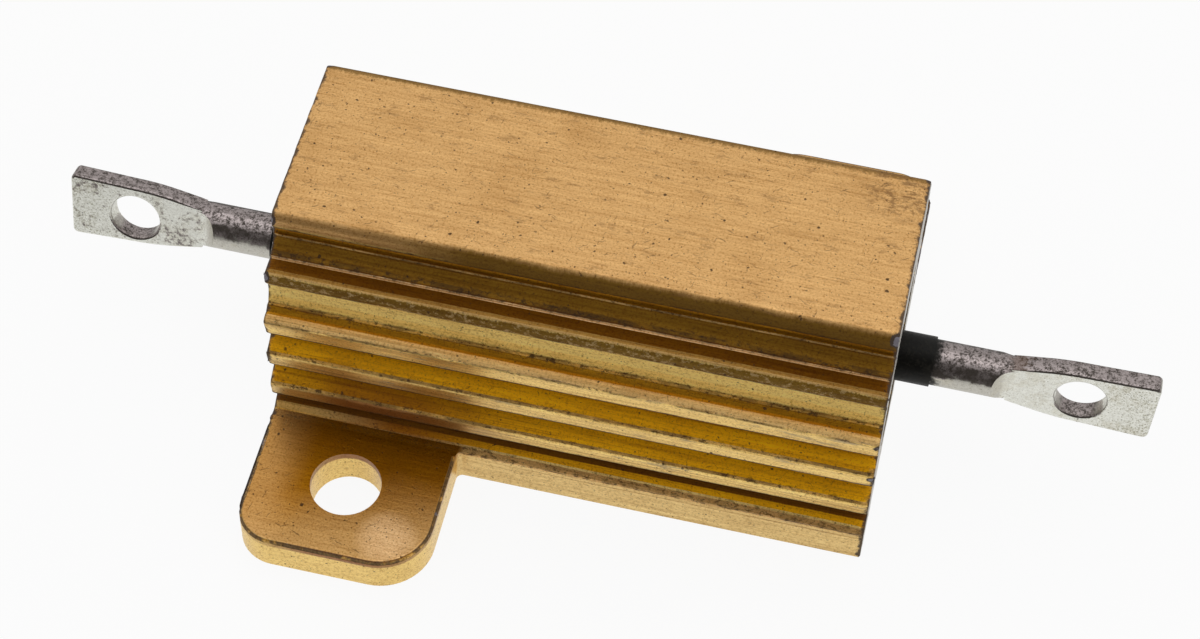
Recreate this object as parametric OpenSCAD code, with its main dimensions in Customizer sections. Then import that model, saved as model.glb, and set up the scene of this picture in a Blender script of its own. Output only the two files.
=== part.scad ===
// Chassis mount resistor. A finned, extruded aluminium housing with two diagonal
// mounting tabs holds a wirewound element in black moulding compound, and a
// terminal flattened into a lug leaves each end.
// Millimetres. The origin is at the middle of the base, +X runs along the housing
// and +Z is up. "Across" means along Y.

/* [Housing] */
// Length of the housing
body_l = 27; // [22:0.5:36]
// Height from the base to the roof
body_h = 13.2; // [12.8:0.1:16]
// Width of the base between the tabs
base_w = 14.1; // [13.8:0.1:17]
// Thickness of the base flange and the tabs
base_t = 1.9; // [1.5:0.05:2.1]
// Diameter of the bore that holds the moulding
bore_d = 8.4; // [7.4:0.1:9]
// Height of the bore's axis
bore_z = 5.7; // [5.2:0.1:6.2]
// Lean of the saw cut at the right end, in degrees: the base is a little longer
end_lean = 0.7; // [0:0.1:2]

/* [Roof and shoulders] */
// Width of the flat roof
roof_w = 8.86; // [8.8:0.02:9.6]
// Radius of the roof's long edges
roof_r = 0.45; // [0.1:0.05:0.55]
// Depth of the bead groove's axis below the roof
bead_drop = 1.08; // [1:0.02:1.2]
// Radius of the bead groove
bead_r = 0.27; // [0.15:0.01:0.3]
// Width of the neck below the bead groove
neck_w = 8.72; // [8.4:0.02:8.8]
// Radius of the hollow flank between the neck and the shoulder
flank_r = 0.8; // [0.7:0.02:0.9]
// Width across the raised feet of the two flanks
foot_w = 10; // [9.8:0.05:10.2]
// Height of a flank's foot over the shoulder
foot_h = 0.06; // [0.02:0.01:0.1]
// Depth of the shoulders below the roof
shoulder_drop = 2.17; // [2.1:0.01:2.4]
// Width across the shoulders
shoulder_w = 12; // [11.8:0.02:12.4]
// Thickness of a shoulder at its edge
shoulder_t = 0.83; // [0.72:0.01:1]
// Radius of a shoulder's two edges
shoulder_r = 0.32; // [0.1:0.01:0.35]
// Width of the waist under the shoulders
waist_w = 11.32; // [11.1:0.02:11.5]
// Radius of the hollow between the waist and the top fin
waist_r = 1.6; // [1.2:0.05:2]

/* [Fins] */
// Number of fins on each side
fin_n = 3; // [2:1:3]
// Distance from fin to fin
fin_pitch = 2.19; // [2:0.01:2.25]
// Height of the lowest fin's underside
fin_z = 3.12; // [2.9:0.02:3.2]
// Width across the tips of the lowest fins
fin_w = 13.76; // [13.2:0.02:14]
// How much less each fin reaches than the one below it
fin_step = 0.08; // [0:0.01:0.12]
// Fall of a fin's upper face towards its tip, in degrees
fin_slope = 33; // [28:1:36]
// Lean of a fin's outer face, in degrees
fin_lean = 8.5; // [0:0.5:12]
// Radius of a fin's tip
fin_r = 0.3; // [0.05:0.01:0.36]
// Width between the roots of the grooves
root_w = 11.16; // [10.9:0.02:11.4]
// Radius of a groove's root
root_r = 0.3; // [0.2:0.01:0.34]
// Height of the top fin's upper face over the underside of that fin
ledge_h = 1.18; // [1.1:0.01:1.3]
// Width across the steps on the top fins
step_w = 11.96; // [11.8:0.02:12.1]
// Height of the step on a top fin
step_h = 0.22; // [0.1:0.01:0.3]

/* [Tabs] */
// Width over both tabs
tab_span = 27.1; // [26:0.1:31]
// Width of a tab along the housing
tab_w = 8.64; // [8.2:0.02:11]
// Radius of a tab's outer corner on its inner side
tab_r = 2.4; // [1:0.1:3.6]
// Radius of a tab's outer corner at the end of the housing
tab_end_r = 1.8; // [1:0.1:3.6]
// Radius between a tab and the base flange
tab_fillet = 0.28; // [0.1:0.02:0.6]
// Radius of a tab's upper edge
tab_edge_r = 0.2; // [0.1:0.05:0.4]
// Distance between the mounting holes along the housing
hole_x = 18.4; // [17.8:0.1:19]
// Distance between the mounting holes across the housing
hole_y = 19.8; // [19.2:0.1:20.4]
// Diameter of the mounting holes
hole_d = 3.18; // [2.6:0.02:3.6]

/* [Element] */
// Diameter of the ceramic core
core_d = 5; // [4:0.1:5.4]
// Length of the ceramic core
core_l = 17; // [14:0.5:18]
// Wall of a core cap
cap_wall = 0.3; // [0.2:0.05:0.4]
// Depth of a core cap over the core
cap_depth = 2; // [1.5:0.1:3]
// Diameter of the resistance wire
wire_d = 0.4; // [0.2:0.02:0.5]
// Turns of the resistance wire
wire_turns = 15; // [8:1:18]
// Depth of the moulding's ends inside the bore
recess = 0.2; // [0:0.05:0.6]
// Length of the moulding's collar outside the housing
collar_l = 1.6; // [0.5:0.1:2.4]
// Wall of the moulding's collar around a terminal
collar_wall = 0.1; // [0.06:0.01:0.4]

/* [Terminals] */
// Overall length over both lugs
overall_l = 49.7; // [46:0.1:60]
// Diameter of a terminal's shank
shank_d = 2.06; // [1.6:0.02:2.3]
// Offset of a terminal's axis from the bore's: the left one low, the right one high
shank_lift = 0.25; // [0:0.01:0.4]
// Thickness of a lug
lug_t = 0.9; // [0.6:0.05:1.2]
// Width of the left lug at its tip
lug_w_left = 3.3; // [2.9:0.02:3.6]
// Width of the right lug at its tip
lug_w_right = 3.36; // [2.9:0.02:3.6]
// How much narrower a lug is where its taper ends
lug_taper_w = 0.22; // [0.04:0.02:0.4]
// Length of a lug's tapered stretch
lug_taper_l = 2.95; // [2.6:0.05:4.2]
// Length of a lug's round flare towards the shank
lug_flare_l = 3.4; // [2.4:0.1:3.6]
// Radius of a lug's corners
lug_r = 0.28; // [0.1:0.02:0.5]
// Diameter of a lug's hole
eye_d = 2.3; // [1.6:0.02:2.4]
// Distance from a lug's tip to its hole's centre, on average
eye_tip = 3.15; // [2.8:0.05:3.4]
// How far the left lug's hole sits below the lug's middle
eye_drop_left = 0.1; // [0:0.01:0.2]
// How much longer the right lug is than the left one
lug_extra_l = 0.24; // [0:0.02:0.4]
// Radius of the shoulder pressed between shank and lug
press_r = 1.2; // [0.8:0.05:2]
// Lean of the left lug's face from upright, in degrees
lean_left = 16; // [0:1:30]
// Lean of the right lug's face from upright, in degrees
lean_right = 5.2; // [0:0.1:30]
// How far a lug was pressed below its shank's axis
lug_sag = 0.04; // [0:0.01:0.2]
// Droop of the right lug from its neck on, in degrees
droop_right = 0.7; // [0:0.1:4]

/* [Hidden] */
$fn = 96;
// Overshoot of cuts past the faces they open
e = 1;
// How far the cuts that round a corner reach past it
corner_lap = 0.02;
// How far the round rod runs on into the pressed stretch
press_lap = 0.3;
// Sides of the wire's section and chords in each of its turns
WIRE_SIDES = 6;
WIRE_CHORDS = 18;

end_x = body_l / 2;
base_y = base_w / 2;
shoulder_z = body_h - shoulder_drop;
// How far the right end's stock runs on for the leaning cut, in whole hundredths
end_reach = ceil(100 * body_h * tan(end_lean)) / 100;
tab_x = tab_w - end_x;
tab_y = tab_span / 2;
cap_x = core_l / 2 - cap_depth;
cap_face_x = core_l / 2 + cap_wall;
tip_x = overall_l / 2;
lug_x = tip_x - lug_taper_l - lug_flare_l;

// ---- Section of the housing: x across, y up -------------------------------

function fin_tip_y(k) = fin_w / 2 - k * fin_step;
function fin_under_z(k) = fin_z + k * fin_pitch;
function root_centre(k) = [root_w / 2 + root_r, fin_under_z(k) - root_r];
// Height of groove k's sloping floor at the distance y from the middle
function floor_z(k, y) =
    root_centre(k).y - root_r / cos(fin_slope) - tan(fin_slope) * (y - root_centre(k).x);
top_fin = fin_n - 1;
ledge_z = fin_under_z(top_fin) + ledge_h;
// The sharp upper corner of fin k, before it is rounded
function fin_corner(k) =
    [fin_tip_y(k), k == top_fin ? ledge_z : floor_z(k + 1, fin_tip_y(k))];
function fin_lower_y(k) =
    fin_tip_y(k) - tan(fin_lean) * (fin_corner(k).y - fin_under_z(k));

// What rounding with radius r takes from a corner at p, where n1 and n2 are the
// unit normals of its two faces, pointing into the metal. Added instead of
// taken, with the normals pointing out of the metal, it is a fillet.
module corner_scrap(p, n1, n2, r) {
    centre = p + r * (n1 + n2) / (1 + n1 * n2);
    past = p - corner_lap * (n1 + n2);
    difference() {
        polygon([past, centre - r * n1, centre, centre - r * n2]);
        translate(centre) circle(r);
    }
}

// A groove between two fins: round root, level roof, floor falling outwards
module groove(k) {
    c = root_centre(k);
    far = base_y + e;
    translate(c) circle(root_r);
    polygon([c, c + [0, root_r], [far, c.y + root_r], [far, floor_z(k, far)],
             c - root_r * [sin(fin_slope), cos(fin_slope)]]);
}

// Outline of one side from the base to the roof, corners still sharp
module side_outline() {
    polygon(concat(
        [[0, 0], [fin_lower_y(0), 0]],
        [for (k = [0:top_fin]) each [[fin_lower_y(k), fin_under_z(k)], fin_corner(k)]],
        [[step_w / 2 + step_h, ledge_z], [step_w / 2, ledge_z + step_h],
         [waist_w / 2, ledge_z + step_h], [waist_w / 2, shoulder_z - shoulder_t],
         [shoulder_w / 2, shoulder_z - shoulder_t], [shoulder_w / 2, shoulder_z],
         [neck_w / 2, shoulder_z], [neck_w / 2, body_h - bead_drop],
         [roof_w / 2, body_h - bead_drop], [roof_w / 2, body_h], [0, body_h]]));
}

// The hollow flank that carries the roof over the shoulder
module flank() {
    difference() {
        translate([0, shoulder_z]) square([foot_w / 2, foot_h + flank_r]);
        translate([neck_w / 2, shoulder_z + foot_h] + flank_r * [1, 1]) circle(flank_r);
    }
}

// The hollow that runs from the waist out to the step on the top fin
module waist_hollow() {
    difference() {
        translate([0, ledge_z]) square([step_w / 2, step_h + waist_r / 2]);
        translate([waist_w / 2 + waist_r, ledge_z + step_h + waist_r / 2]) circle(waist_r);
    }
}

module half_section() {
    down = [0, -1];
    up = [0, 1];
    inwards = [-1, 0];
    slope_in = [-sin(fin_slope), -cos(fin_slope)];
    face_in = [-cos(fin_lean), sin(fin_lean)];
    difference() {
        union() {
            side_outline();
            flank();
            waist_hollow();
        }
        for (k = [0:top_fin]) {
            groove(k);
            corner_scrap(fin_corner(k), k == top_fin ? down : slope_in, face_in, fin_r);
        }
        corner_scrap([roof_w / 2, body_h], down, inwards, roof_r);
        corner_scrap([shoulder_w / 2, shoulder_z], down, inwards, shoulder_r);
        corner_scrap([shoulder_w / 2, shoulder_z - shoulder_t], up, inwards, shoulder_r);
        translate([neck_w / 2 - bead_r / 2 + bead_r, body_h - bead_drop]) circle(bead_r);
    }
    square([base_y, base_t]);
}

module section() {
    half_section();
    mirror([1, 0]) half_section();
}

// ---- Housing --------------------------------------------------------------

// Plan of the front left tab, up to the middle of the base. Its end lies further
// out by reach.
module tab_plan(reach) {
    left = -end_x - reach;
    right = tab_x;
    difference() {
        translate([left, -tab_y]) square([right - left, tab_y]);
        corner_scrap([left, -tab_y], [1, 0], [0, 1], tab_end_r);
        corner_scrap([right, -tab_y], [-1, 0], [0, 1], tab_r);
    }
    corner_scrap([right, -base_y], [1, 0], [0, -1], tab_fillet);
}

// What rounding takes from an upper edge: x outwards, y up, from the arc's centre
module edge_scrap() {
    difference() {
        square(tab_edge_r + e);
        circle(tab_edge_r);
    }
}

// The same along a straight edge of length l that faces +X and starts at the origin
module straight_rim_scrap(l) {
    rotate([90, 0, 0]) translate([-tab_edge_r, 0, -l]) linear_extrude(l) edge_scrap();
}

// The same round a corner of radius r about the origin, from +X to +Y
module corner_rim_scrap(r) {
    rotate_extrude(angle = 90) translate([r - tab_edge_r, 0]) edge_scrap();
}

// What rounding takes from the tab's whole upper rim
module tab_rim_scrap(reach) {
    left = -end_x - reach;
    stop_y = base_y + tab_fillet;
    translate([0, 0, base_t - tab_edge_r]) {
        translate([left, -stop_y, 0])
            rotate([0, 0, 180]) straight_rim_scrap(tab_y - tab_end_r - stop_y);
        translate([left + tab_end_r, tab_end_r - tab_y, 0])
            rotate([0, 0, 180]) corner_rim_scrap(tab_end_r);
        translate([left + tab_end_r, -tab_y, 0])
            rotate([0, 0, 270]) straight_rim_scrap(tab_x - tab_r - left - tab_end_r);
        translate([tab_x - tab_r, tab_r - tab_y, 0])
            rotate([0, 0, 270]) corner_rim_scrap(tab_r);
        translate([tab_x, tab_r - tab_y, 0]) straight_rim_scrap(tab_y - tab_r - stop_y);
    }
}

module tab(reach) {
    difference() {
        linear_extrude(base_t) tab_plan(reach);
        tab_rim_scrap(reach);
    }
}

// The saw's cut across the right end
module end_cut() {
    reach = tab_span + 2 * e;
    translate([end_x, -reach / 2, body_h]) rotate([0, -end_lean, 0])
        translate([0, 0, -body_h - e]) cube([reach, reach, body_h + 2 * e]);
}

module housing() {
    color("goldenrod") difference() {
        union() {
            translate([-end_x, 0, 0])
                rotate([90, 0, 90]) linear_extrude(body_l + end_reach) section();
            tab(0);
            rotate([0, 0, 180]) tab(end_reach);
        }
        end_cut();
        translate([-end_x - e, 0, bore_z])
            rotate([0, 90, 0]) cylinder(d = bore_d, h = body_l + 2 * e);
        for (side = [-1, 1])
            translate([side * hole_x / 2, side * hole_y / 2, -e])
                cylinder(d = hole_d, h = base_t + 2 * e);
    }
}

// ---- Element --------------------------------------------------------------

// A rod along X from x0 to x1, on the axis of the bore
module rod(x0, x1, r) {
    translate([x0, 0, bore_z]) rotate([0, 90, 0]) cylinder(r = r, h = x1 - x0);
}

// The pieces on a terminal's own axis, where side is -1 for left and 1 for right
module on_terminal_axis(side) {
    translate([0, 0, side * shank_lift]) children();
}

module ceramic_core() {
    color("ivory") rod(-core_l / 2, core_l / 2, core_d / 2);
}

module core_cap(side) {
    color("silver") mirror([side < 0 ? 1 : 0, 0, 0]) difference() {
        rod(cap_x, cap_face_x, core_d / 2 + cap_wall);
        rod(cap_x - e, core_l / 2, core_d / 2);
    }
}

module core_cap_left() { core_cap(-1); }
module core_cap_right() { core_cap(1); }

wire_r = wire_d / 2;
// The wire's chords just touch the core
wire_path_r = core_d / 2 / cos(180 / WIRE_CHORDS) + wire_r;
wire_travel = 2 * (cap_x - wire_r);
wire_rings = wire_turns * WIRE_CHORDS;

// Corner j of the wire's section at ring i, on an axis along X
function wire_point(i, j) =
    let (turn = 360 * i / WIRE_CHORDS, around = 360 * j / WIRE_SIDES,
         r = wire_path_r + wire_r * cos(around))
    [(i / wire_rings - 0.5) * wire_travel + wire_r * sin(around),
     r * cos(turn), r * sin(turn)];

module resistance_winding() {
    s = WIRE_SIDES;
    points = [for (i = [0:wire_rings], j = [0:s - 1]) wire_point(i, j)];
    walls = [for (i = [0:wire_rings - 1], j = [0:s - 1])
        let (a = i * s + j, b = i * s + (j + 1) % s) each [[a, b, a + s], [b, b + s, a + s]]];
    start = [for (j = [s - 1:-1:0]) j];
    finish = [for (j = [0:s - 1]) wire_rings * s + j];
    color("darkgray") translate([0, 0, bore_z])
        polyhedron(points, concat(walls, [start, finish]), convexity = 10);
}

module moulding() {
    color("black") difference() {
        union() {
            rod(recess - end_x, end_x - recess, bore_d / 2);
            for (side = [-1, 1])
                on_terminal_axis(side) mirror([side < 0 ? 1 : 0, 0, 0])
                    rod(0, end_x + collar_l, shank_d / 2 + collar_wall);
        }
        rod(-core_l / 2, core_l / 2, core_d / 2);
        rod(-cap_x, cap_x, wire_path_r + wire_r);
        for (side = [-1, 1]) mirror([side < 0 ? 1 : 0, 0, 0])
            rod(cap_x, cap_face_x, core_d / 2 + cap_wall);
        for (side = [-1, 1])
            on_terminal_axis(side) mirror([side < 0 ? 1 : 0, 0, 0])
                rod(0, end_x + collar_l + e, shank_d / 2);
    }
}

// ---- Terminals ------------------------------------------------------------

// Half of a lug's plan, w wide at its tip: a taper, then a round flare to the shank
module lug_half_plan(w, tip) {
    taper_x = tip_x - lug_taper_l;
    run = lug_flare_l;
    flare_y = (w - lug_taper_w) / 2;
    fall = flare_y - shank_d / 2;
    flare_r = (run * run + fall * fall) / (2 * fall);
    difference() {
        polygon([[taper_x, 0], [taper_x, flare_y], [tip, w / 2], [tip, 0]]);
        corner_scrap([tip, w / 2], [-1, 0], [0, -1], lug_r);
    }
    intersection() {
        translate([lug_x, 0]) square([run, flare_y]);
        translate([taper_x, flare_y - flare_r]) circle(flare_r);
    }
}

// What the press takes off one face of the rod to make the lug
module press_cut(w) {
    press_x = lug_x + press_lap;
    wide = w + 2 * e;
    translate([press_x, -wide / 2, lug_t / 2]) cube([tip_x - press_x + e, wide, shank_d]);
    translate([press_x, wide / 2, lug_t / 2 + press_r]) rotate([90, 0, 0])
        cylinder(r = press_r, h = wide);
}

// Puts what is drawn on a lug's own middle line, from z down, where the lug is
module on_lug(droop, z) {
    translate([lug_x, -lug_sag, z]) rotate([0, 0, -droop]) translate([-lug_x, 0, 0]) children();
}

// A terminal in its own frame: x outwards, y up the lug, z out of the lug's face.
// w is the lug's width at its tip, droop its bend in degrees, drop its hole's offset.
module terminal_rod(tip, w, droop, drop) {
    difference() {
        union() {
            translate([cap_face_x, 0, 0]) rotate([0, 90, 0])
                cylinder(d = shank_d, h = lug_x + 2 * press_lap - cap_face_x);
            on_lug(droop, -lug_t / 2) linear_extrude(lug_t) {
                lug_half_plan(w, tip);
                mirror([0, 1]) lug_half_plan(w, tip);
            }
        }
        press_cut(w);
        mirror([0, 0, 1]) press_cut(w);
        on_lug(droop, -lug_t) translate([tip_x - eye_tip, -drop, 0])
            cylinder(d = eye_d, h = 2 * lug_t);
    }
}

module terminal(side, lean, w, droop, drop) {
    color("lightgray") on_terminal_axis(side) mirror([side < 0 ? 1 : 0, 0, 0])
        translate([0, 0, bore_z]) rotate([90 - lean, 0, 0])
            terminal_rod(tip_x + side * lug_extra_l / 2, w, droop, drop);
}

module terminal_left() { terminal(-1, lean_left, lug_w_left, 0, eye_drop_left); }
module terminal_right() { terminal(1, lean_right, lug_w_right, droop_right, 0); }

housing();
moulding();
ceramic_core();
resistance_winding();
core_cap_left();
core_cap_right();
terminal_left();
terminal_right();
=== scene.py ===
import logging
import math
from dataclasses import dataclass
from enum import Enum
from typing import Any, Callable, Union

import bmesh
import bpy
from mathutils import Euler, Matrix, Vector


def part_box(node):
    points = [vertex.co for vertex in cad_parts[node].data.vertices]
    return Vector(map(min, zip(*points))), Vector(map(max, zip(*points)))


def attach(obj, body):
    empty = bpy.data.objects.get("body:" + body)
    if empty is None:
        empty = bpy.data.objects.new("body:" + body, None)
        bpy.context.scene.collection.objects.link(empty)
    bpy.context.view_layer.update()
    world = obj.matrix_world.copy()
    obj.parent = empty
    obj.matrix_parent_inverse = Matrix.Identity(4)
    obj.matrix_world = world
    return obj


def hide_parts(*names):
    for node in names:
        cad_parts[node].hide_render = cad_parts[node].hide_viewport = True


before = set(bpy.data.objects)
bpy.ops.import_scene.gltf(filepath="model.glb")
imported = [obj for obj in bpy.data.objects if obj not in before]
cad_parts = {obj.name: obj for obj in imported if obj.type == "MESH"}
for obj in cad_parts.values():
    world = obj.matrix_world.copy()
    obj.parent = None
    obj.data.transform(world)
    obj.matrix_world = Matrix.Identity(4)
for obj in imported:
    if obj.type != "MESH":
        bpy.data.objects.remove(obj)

log = logging.getLogger("resistor")

MM = 0.001
BODY = "root"
Number = Union[float, "Link"]
Pair = tuple[float, float]
Triple = tuple[float, float, float]
Colour = Triple


class Blend(Enum):
    """How one colour goes over another."""

    COVER = "MIX"
    TINT = "MULTIPLY"


class Side(Enum):
    """The two sides of the resistor that a terminal stands out of."""

    LEFT = "left"
    RIGHT = "right"


# ---- Shader arithmetic --------------------------------------------------------

# Sockets of the Mix node for colours, which share their names with its other kinds.
MIX_FACTOR, MIX_FIRST, MIX_SECOND, MIX_RESULT = 0, 6, 7, 2


class Link:
    """A socket on its way through a material, with arithmetic that adds Math nodes."""

    def __init__(self, sheet: "Sheet", socket: bpy.types.NodeSocket | None) -> None:
        """Keeps the sheet that the socket is on, or no socket behind an output node."""
        self.sheet = sheet
        self.socket = socket

    def _with(self, operation: str, other: Number, swapped: bool = False) -> "Link":
        """Adds one Math node.

        Args:
            operation: The Math node's operation.
            other: The second number, or the first one if swapped.
            swapped: Whether this link comes second.

        Returns:
            The node's result.
        """
        pair = (other, self) if swapped else (self, other)
        return self.sheet.node("Math", {"operation": operation}, {0: pair[0], 1: pair[1]})

    def __add__(self, other: Number) -> "Link":
        """Sum."""
        return self._with("ADD", other)

    def __radd__(self, other: Number) -> "Link":
        """Sum, with this link second."""
        return self._with("ADD", other, swapped=True)

    def __sub__(self, other: Number) -> "Link":
        """Difference."""
        return self._with("SUBTRACT", other)

    def __rsub__(self, other: Number) -> "Link":
        """Difference, with this link second."""
        return self._with("SUBTRACT", other, swapped=True)

    def __mul__(self, other: Number) -> "Link":
        """Product."""
        return self._with("MULTIPLY", other)

    def __rmul__(self, other: Number) -> "Link":
        """Product, with this link second."""
        return self._with("MULTIPLY", other, swapped=True)

    def __truediv__(self, other: Number) -> "Link":
        """Quotient."""
        return self._with("DIVIDE", other)

    def __abs__(self) -> "Link":
        """Size without sign."""
        return self._with("ABSOLUTE", 0.0)

    def at_most(self, other: Number) -> "Link":
        """The smaller of the two."""
        return self._with("MINIMUM", other)

    def at_least(self, other: Number) -> "Link":
        """The larger of the two."""
        return self._with("MAXIMUM", other)

    def step(self, low: float, high: float) -> "Link":
        """A soft step that rises from 0 at low to 1 at high, or falls if low is above high.

        Args:
            low: The value where the step starts.
            high: The value where it ends.

        Returns:
            The step, from 0 to 1.
        """
        rising = high > low
        return self.sheet.node(
            "MapRange",
            {"interpolation_type": "SMOOTHSTEP"},
            {
                "Value": self,
                "From Min": min(low, high),
                "From Max": max(low, high),
                "To Min": 0.0 if rising else 1.0,
                "To Max": 1.0 if rising else 0.0,
            },
            "Result",
        )

    def band(self, low: float, high: float, soft: float) -> "Link":
        """1 between low and high, with soft edges.

        Args:
            low: Where the band starts.
            high: Where it ends.
            soft: Width of each edge, outside the band.

        Returns:
            The band, from 0 to 1.
        """
        return self.step(low - soft, low) * self.step(high + soft, high)


class Sheet:
    """The node tree of one material or world."""

    def __init__(self, tree: bpy.types.NodeTree) -> None:
        """Empties the tree."""
        self.tree = tree
        tree.nodes.clear()

    def node(
        self,
        kind: str,
        settings: dict[str, Any] | None = None,
        inputs: dict[Union[str, int], Any] | None = None,
        output: Union[str, int] = 0,
    ) -> Link:
        """Adds a node of any kind.

        Args:
            kind: The node's type without its ShaderNode prefix.
            settings: The node's own settings, which are set first.
            inputs: Values or links for its sockets, by name or number.
            output: The name or number of the socket to go on from.

        Returns:
            A link that starts at the output, if the node has one.
        """
        made = self.tree.nodes.new("ShaderNode" + kind)
        for name, value in (settings or {}).items():
            setattr(made, name, value)
        for name, value in (inputs or {}).items():
            if isinstance(value, Link):
                self.tree.links.new(value.socket, made.inputs[name])
            else:
                made.inputs[name].default_value = value
        return Link(self, made.outputs[output] if made.outputs else None)

    def other(self, link: Link, output: Union[str, int]) -> Link:
        """Another output of the node that a link starts at."""
        return Link(self, link.socket.node.outputs[output])

    def parts(self, vector: Link) -> tuple[Link, Link, Link]:
        """The x, y and z of a vector."""
        first = self.node("SeparateXYZ", {}, {0: vector})
        return first, self.other(first, 1), self.other(first, 2)

    def place(self) -> Link:
        """A point of the piece in millimetres, in the part's frame."""
        point = self.node("TexCoord", {}, {}, "Object")
        return self.stretched(point, (1 / MM, 1 / MM, 1 / MM))

    def facing(self) -> tuple[Link, Link, Link]:
        """The parts of the surface's normal."""
        return self.parts(self.node("TexCoord", {}, {}, "Normal"))

    def stretched(self, point: Link, scale: Triple) -> Link:
        """A point with its axes stretched by scale."""
        return self.node("VectorMath", {"operation": "MULTIPLY"}, {0: point, 1: scale})

    def noise(self, point: Link, scale: float, detail: float, rough: float) -> Link:
        """Cloudy noise.

        Args:
            point: Where to read it.
            scale: How fine it is, in waves per unit of point.
            detail: Number of octaves.
            rough: How strong the fine octaves are.

        Returns:
            The noise, which stays around 0.5.
        """
        inputs = {"Vector": point, "Scale": scale, "Detail": detail, "Roughness": rough}
        return self.node("TexNoise", {}, inputs)

    def warp(self, point: Link, scale: float, amount: float) -> Link:
        """A point pushed about by noise.

        Args:
            point: The point.
            scale: How fine the noise is.
            amount: How far the point moves at most.

        Returns:
            The moved point.
        """
        inputs = {"Vector": point, "Scale": scale, "Detail": 2.0}
        push = self.node("TexNoise", {}, inputs, "Color")
        middle = self.node("VectorMath", {"operation": "SUBTRACT"}, {0: push, 1: (0.5, 0.5, 0.5)})
        push = self.stretched(middle, (2 * amount, 2 * amount, 2 * amount))
        return self.node("VectorMath", {"operation": "ADD"}, {0: point, 1: push})

    def turned(self, point: Link, angles: Triple, scale: Triple) -> Link:
        """Turns a point, and makes what is read there longer or shorter along its axes.

        Args:
            point: The point.
            angles: The turn round each axis in degrees.
            scale: How long the pattern gets along each axis.

        Returns:
            The turned point.
        """
        turn = tuple(math.radians(angle) for angle in angles)
        inputs = {"Vector": point, "Rotation": turn, "Scale": scale}
        return self.node("Mapping", {"vector_type": "TEXTURE"}, inputs)

    def specks(self, point: Link, scale: float, size: float, share: float) -> Link:
        """Round specks of varied sizes, scattered over a part of the cells.

        Args:
            point: Where to read them.
            scale: Cells per unit of point.
            size: Radius of the largest speck, as a share of a cell.
            share: How many of the cells hold one.

        Returns:
            1 inside a speck and 0 outside.
        """
        cell = self.node("TexVoronoi", {}, {"Vector": point, "Scale": scale}, "Distance")
        pick, weight, _ = self.parts(self.other(cell, "Color"))
        radius = size * (0.35 + 0.65 * weight)
        inside = (radius - cell) / (0.35 * size)
        return inside.step(0.0, 1.0) * pick.step(1 - share, 1.02 - share)

    def mix(self, factor: Number, first: Any, second: Any, blend: Blend = Blend.COVER) -> Link:
        """Mixes two colours.

        Args:
            factor: How much of the second colour.
            first: The first colour or link.
            second: The second colour or link.
            blend: How the second goes over the first.

        Returns:
            The mixed colour.
        """
        settings = {"data_type": "RGBA", "blend_type": blend.value}
        inputs = {MIX_FACTOR: factor, MIX_FIRST: rgba(first), MIX_SECOND: rgba(second)}
        return self.node("Mix", settings, inputs, MIX_RESULT)

    def bump(self, height: Link, distance: float) -> Link:
        """The normal of a height around 0 to 1, with the real height of 1 in metres."""
        return self.node("Bump", {}, {"Height": height, "Distance": distance}, "Normal")

    def finish(self, **sockets: Any) -> None:
        """Ends the sheet with a Principled shader.

        Args:
            sockets: Values or links, with the spaces of the sockets' names as underscores.
        """
        inputs = {name.replace("_", " "): value for name, value in sockets.items()}
        shader = self.node("BsdfPrincipled", {}, inputs, "BSDF")
        self.node("OutputMaterial", {}, {"Surface": shader})


class Coat:
    """The colour, metal share and roughness of a surface, laid on layer by layer."""

    def __init__(self, sheet: Sheet, tint: Colour, metal: float, rough: Number) -> None:
        """Starts with one layer all over.

        Args:
            sheet: The sheet of the material.
            tint: The layer's colour.
            metal: Its share of metal.
            rough: Its roughness.
        """
        self.sheet = sheet
        self.colour: Any = tint
        self.metal: Number = metal
        self.rough: Number = rough

    def lay(
        self, mask: Number, tint: Any, metal: float | None = None, rough: float | None = None
    ) -> None:
        """Lays one more layer.

        Args:
            mask: Where it lies, from 0 to 1.
            tint: Its colour.
            metal: Its share of metal, or None to keep what is there.
            rough: Its roughness, or None to keep what is there.
        """
        self.colour = self.sheet.mix(mask, self.colour, tint)
        if metal is not None:
            self.metal = self.metal + (metal - self.metal) * mask
        if rough is not None:
            self.rough = self.rough + (rough - self.rough) * mask

    def tone(self, mask: Number, factor: Colour) -> None:
        """Multiplies the colour by a factor where the mask is 1."""
        self.colour = self.sheet.mix(mask, self.colour, factor, Blend.TINT)


def rgba(colour: Any) -> Any:
    """A colour with its alpha, or the link that it is."""
    return colour if isinstance(colour, Link) else (*colour, 1.0)


def new_material(name: str) -> tuple[bpy.types.Material, Sheet]:
    """Starts a material.

    Args:
        name: Its name.

    Returns:
        The material and its empty sheet.
    """
    material = bpy.data.materials.new(name)
    material.use_nodes = True
    return material, Sheet(material.node_tree)


def dress(piece: bpy.types.Object, material: bpy.types.Material) -> None:
    """Gives a piece one material all over.

    Args:
        piece: The piece.
        material: The material.
    """
    if not piece.material_slots:
        piece.data.materials.append(material)
    for slot in piece.material_slots:
        slot.link = "OBJECT"
        slot.material = material


# ---- Finishes -----------------------------------------------------------------


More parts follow.
